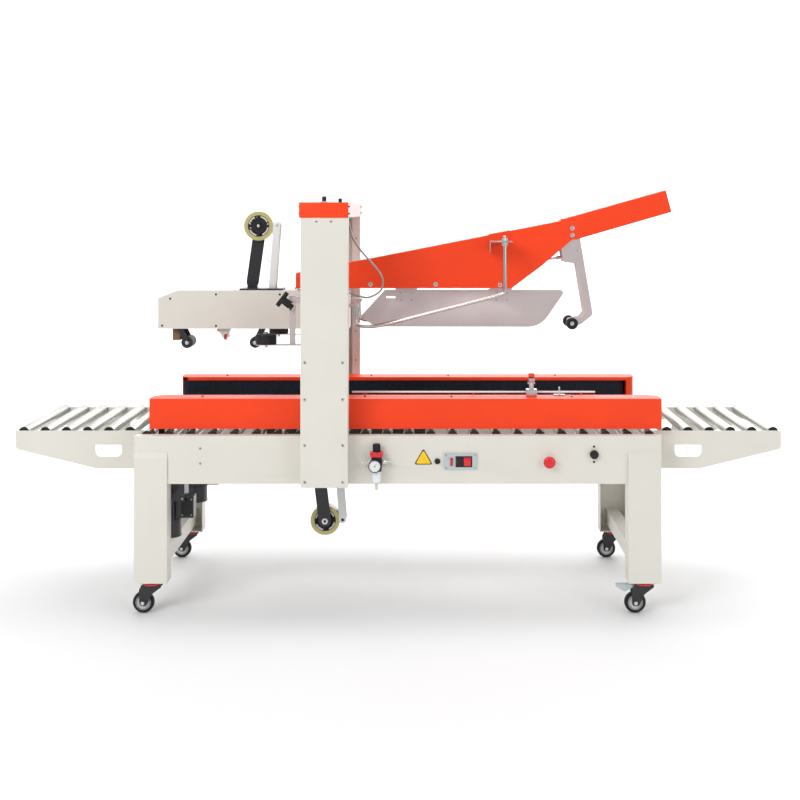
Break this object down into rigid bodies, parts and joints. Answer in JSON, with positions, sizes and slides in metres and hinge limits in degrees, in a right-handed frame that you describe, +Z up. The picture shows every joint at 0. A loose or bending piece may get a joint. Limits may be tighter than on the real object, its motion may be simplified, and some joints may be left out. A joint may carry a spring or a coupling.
{
  "type": "carton sealer machine",
  "caption": "Carton sealing machine: roller bed with side belts, height-adjustable tape head with flap folding cover on two masts, and roller tables at both ends.",
  "frame": {"origin": "on the floor under the middle of the machine's box", "axes": "+X towards the infeed end, -Y towards the operator, +Z up"},
  "size_m": [2.746, 0.9, 1.491],
  "materials": {
    "cream_paint": "satin powder coat",
    "orange_paint": "satin powder coat",
    "stainless": "brushed",
    "chrome": "polished",
    "zinc": "zinc plated",
    "black_paint": "semi gloss",
    "black_rubber": "matte",
    "caster_tyre": "matte",
    "tape_film": "glossy film edge",
    "black_plastic": "moulded",
    "red_plastic": "moulded"
  },
  "bodies": {
    "root": {"bed_frame": "cream_paint", "outfeed_legs": "cream_paint", "infeed_legs": "cream_paint", "outfeed_rails": "cream_paint", "infeed_rails": "cream_paint", "bed_rollers": "zinc", "near_mast": "cream_paint", "far_mast": "cream_paint", "top_beam": "cream_paint", "control_plate": "zinc", "air_regulator": "black_plastic", "lower_tape_head": "black_paint"},
    "head": {"head_box": "cream_paint", "head_carriage": "stainless", "flap_cover": "orange_paint", "cover_extension": "orange_paint", "guide_plate": "stainless", "guide_bars": "chrome", "upper_roll_arm": "black_paint", "conduit": "stainless"},
    "kicker": {"kicker_arm": "stainless"},
    "cylinder": {"kicker_cylinder": "stainless"},
    "cylinder_rod": {"kicker_rod": "stainless"},
    "near_kicker_wheel": {"near_kicker_wheel": "black_rubber"},
    "far_kicker_wheel": {"far_kicker_wheel": "black_rubber"},
    "near_drive": {"near_belt_cover": "orange_paint", "near_side_belt": "black_rubber", "near_gearmotor": "black_paint"},
    "far_drive": {"far_belt_cover": "orange_paint", "far_side_belt": "black_rubber", "far_gearmotor": "black_paint"},
    "upper_roll": {"upper_tape_roll": "tape_film"},
    "lower_roll": {"lower_tape_roll": "tape_film"},
    "front_press": {"press_roller_front": "black_rubber"},
    "rear_press": {"press_roller_rear": "black_rubber"},
    "near_squeeze": {"near_squeeze_roller": "black_rubber"},
    "far_squeeze": {"far_squeeze_roller": "black_rubber"},
    "stop_button": {"e_stop_button": "red_plastic"},
    "rocker": {"power_rocker": "red_plastic"},
    "knob": {"regulator_knob": "black_plastic"},
    "near_outfeed_fork": {"near_outfeed_caster_fork": "black_paint"},
    "near_outfeed_wheel": {"near_outfeed_caster_wheel": "caster_tyre"},
    "far_outfeed_fork": {"far_outfeed_caster_fork": "black_paint"},
    "far_outfeed_wheel": {"far_outfeed_caster_wheel": "caster_tyre"},
    "outfeed_roller_1": {"outfeed_roller_1": "zinc"},
    "outfeed_roller_2": {"outfeed_roller_2": "zinc"},
    "outfeed_roller_3": {"outfeed_roller_3": "zinc"},
    "outfeed_roller_4": {"outfeed_roller_4": "zinc"},
    "outfeed_roller_5": {"outfeed_roller_5": "zinc"},
    "outfeed_roller_6": {"outfeed_roller_6": "zinc"},
    "near_infeed_fork": {"near_infeed_caster_fork": "black_paint"},
    "near_infeed_wheel": {"near_infeed_caster_wheel": "caster_tyre"},
    "far_infeed_fork": {"far_infeed_caster_fork": "black_paint"},
    "far_infeed_wheel": {"far_infeed_caster_wheel": "caster_tyre"},
    "infeed_roller_1": {"infeed_roller_1": "zinc"},
    "infeed_roller_2": {"infeed_roller_2": "zinc"},
    "infeed_roller_3": {"infeed_roller_3": "zinc"},
    "infeed_roller_4": {"infeed_roller_4": "zinc"},
    "infeed_roller_5": {"infeed_roller_5": "zinc"},
    "infeed_roller_6": {"infeed_roller_6": "zinc"}
  },
  "joints": [
    {"name": "head_lift", "type": "slide", "parent": "root", "child": "head", "axis": [0, 0, 1], "range_m": [-0.165, 0.165], "deforming": ["conduit"]},
    {"name": "near_drive_slide", "type": "slide", "parent": "root", "child": "near_drive", "axis": [0, 1, 0], "range_m": [0, 0.15]},
    {"name": "far_drive_slide", "type": "slide", "parent": "root", "child": "far_drive", "axis": [0, -1, 0], "range_m": [0, 0.15]},
    {"name": "kicker_swing", "type": "hinge", "parent": "head", "child": "kicker", "pos_m": [0.65, 0, 1.335], "axis": [0, 1, 0], "range_deg": [0, 40]},
    {"name": "cylinder_tilt", "type": "hinge", "parent": "head", "child": "cylinder", "pos_m": [0.3, 0, 1.19], "axis": [0, -1, 0], "range_deg": [0, 9]},
    {"name": "rod_slide", "type": "slide", "parent": "cylinder", "child": "cylinder_rod", "axis": [0.9891, 0, 0.1473], "range_m": [-0.05, 0]},
    {"name": "near_kicker_wheel_spin", "type": "hinge", "parent": "kicker", "child": "near_kicker_wheel", "pos_m": [0.648, -0.0565, 0.99], "axis": [0, 1, 0], "continuous": true},
    {"name": "far_kicker_wheel_spin", "type": "hinge", "parent": "kicker", "child": "far_kicker_wheel", "pos_m": [0.648, 0.0565, 0.99], "axis": [0, 1, 0], "continuous": true},
    {"name": "upper_roll_spin", "type": "hinge", "parent": "head", "child": "upper_roll", "pos_m": [-0.534, 0, 1.356], "axis": [0, 1, 0], "continuous": true},
    {"name": "lower_roll_spin", "type": "hinge", "parent": "root", "child": "lower_roll", "pos_m": [-0.282, 0, 0.242], "axis": [0, 1, 0], "continuous": true},
    {"name": "front_press_swing", "type": "hinge", "parent": "head", "child": "front_press", "pos_m": [-0.86, 0, 1.04], "axis": [0, -1, 0], "range_deg": [0, 18]},
    {"name": "rear_press_swing", "type": "hinge", "parent": "head", "child": "rear_press", "pos_m": [-0.487, 0, 1.04], "axis": [0, 1, 0], "range_deg": [0, 18]},
    {"name": "near_squeeze_spin", "type": "hinge", "parent": "head", "child": "near_squeeze", "pos_m": [-0.483, -0.2, 0.947], "axis": [0, 0, 1], "continuous": true},
    {"name": "far_squeeze_spin", "type": "hinge", "parent": "head", "child": "far_squeeze", "pos_m": [-0.483, 0.2, 0.947], "axis": [0, 0, 1], "continuous": true},
    {"name": "e_stop_press", "type": "slide", "parent": "root", "child": "stop_button", "axis": [0, 1, 0], "range_m": [0, 0.006], "stiffness_N_per_m": 800},
    {"name": "power_rocker_tilt", "type": "hinge", "parent": "root", "child": "rocker", "pos_m": [0.23125, -0.3905, 0.53725], "axis": [0, 0, 1], "range_deg": [-8, 8]},
    {"name": "regulator_knob_turn", "type": "hinge", "parent": "root", "child": "knob", "pos_m": [-0.073, -0.4095, 0.59], "axis": [0, 0, 1], "range_deg": [-180, 180]},
    {"name": "near_outfeed_swivel", "type": "hinge", "parent": "root", "child": "near_outfeed_fork", "pos_m": [-0.865, -0.355, 0.105], "axis": [0, 0, 1], "continuous": true},
    {"name": "near_outfeed_wheel_spin", "type": "hinge", "parent": "near_outfeed_fork", "child": "near_outfeed_wheel", "pos_m": [-0.895, -0.355, 0.0375], "axis": [0, 1, 0], "continuous": true},
    {"name": "far_outfeed_swivel", "type": "hinge", "parent": "root", "child": "far_outfeed_fork", "pos_m": [-0.865, 0.355, 0.105], "axis": [0, 0, 1], "continuous": true},
    {"name": "far_outfeed_wheel_spin", "type": "hinge", "parent": "far_outfeed_fork", "child": "far_outfeed_wheel", "pos_m": [-0.895, 0.355, 0.0375], "axis": [0, 1, 0], "continuous": true},
    {"name": "outfeed_roller_1_spin", "type": "hinge", "parent": "root", "child": "outfeed_roller_1", "pos_m": [-0.965, 0, 0.618], "axis": [0, 1, 0], "continuous": true},
    {"name": "outfeed_roller_2_spin", "type": "hinge", "parent": "root", "child": "outfeed_roller_2", "pos_m": [-1.0415, 0, 0.618], "axis": [0, 1, 0], "continuous": true},
    {"name": "outfeed_roller_3_spin", "type": "hinge", "parent": "root", "child": "outfeed_roller_3", "pos_m": [-1.118, 0, 0.618], "axis": [0, 1, 0], "continuous": true},
    {"name": "outfeed_roller_4_spin", "type": "hinge", "parent": "root", "child": "outfeed_roller_4", "pos_m": [-1.1945, 0, 0.618], "axis": [0, 1, 0], "continuous": true},
    {"name": "outfeed_roller_5_spin", "type": "hinge", "parent": "root", "child": "outfeed_roller_5", "pos_m": [-1.271, 0, 0.618], "axis": [0, 1, 0], "continuous": true},
    {"name": "outfeed_roller_6_spin", "type": "hinge", "parent": "root", "child": "outfeed_roller_6", "pos_m": [-1.3475, 0, 0.618], "axis": [0, 1, 0], "continuous": true},
    {"name": "near_infeed_swivel", "type": "hinge", "parent": "root", "child": "near_infeed_fork", "pos_m": [0.865, -0.355, 0.105], "axis": [0, 0, 1], "continuous": true},
    {"name": "near_infeed_wheel_spin", "type": "hinge", "parent": "near_infeed_fork", "child": "near_infeed_wheel", "pos_m": [0.835, -0.355, 0.0375], "axis": [0, 1, 0], "continuous": true},
    {"name": "far_infeed_swivel", "type": "hinge", "parent": "root", "child": "far_infeed_fork", "pos_m": [0.865, 0.355, 0.105], "axis": [0, 0, 1], "continuous": true},
    {"name": "far_infeed_wheel_spin", "type": "hinge", "parent": "far_infeed_fork", "child": "far_infeed_wheel", "pos_m": [0.835, 0.355, 0.0375], "axis": [0, 1, 0], "continuous": true},
    {"name": "infeed_roller_1_spin", "type": "hinge", "parent": "root", "child": "infeed_roller_1", "pos_m": [0.965, 0, 0.618], "axis": [0, 1, 0], "continuous": true},
    {"name": "infeed_roller_2_spin", "type": "hinge", "parent": "root", "child": "infeed_roller_2", "pos_m": [1.0415, 0, 0.618], "axis": [0, 1, 0], "continuous": true},
    {"name": "infeed_roller_3_spin", "type": "hinge", "parent": "root", "child": "infeed_roller_3", "pos_m": [1.118, 0, 0.618], "axis": [0, 1, 0], "continuous": true},
    {"name": "infeed_roller_4_spin", "type": "hinge", "parent": "root", "child": "infeed_roller_4", "pos_m": [1.1945, 0, 0.618], "axis": [0, 1, 0], "continuous": true},
    {"name": "infeed_roller_5_spin", "type": "hinge", "parent": "root", "child": "infeed_roller_5", "pos_m": [1.271, 0, 0.618], "axis": [0, 1, 0], "continuous": true},
    {"name": "infeed_roller_6_spin", "type": "hinge", "parent": "root", "child": "infeed_roller_6", "pos_m": [1.3475, 0, 0.618], "axis": [0, 1, 0], "continuous": true}
  ],
  "couplings": [
    {"joint": "far_drive_slide", "follows": "near_drive_slide", "ratio": 1},
    {"joint": "cylinder_tilt", "follows": "kicker_swing", "ratio": 0.222},
    {"joint": "rod_slide", "follows": "kicker_swing", "m_per_rad": -0.0682},
    {"joint": "rear_press_swing", "follows": "front_press_swing", "ratio": 1}
  ]
}
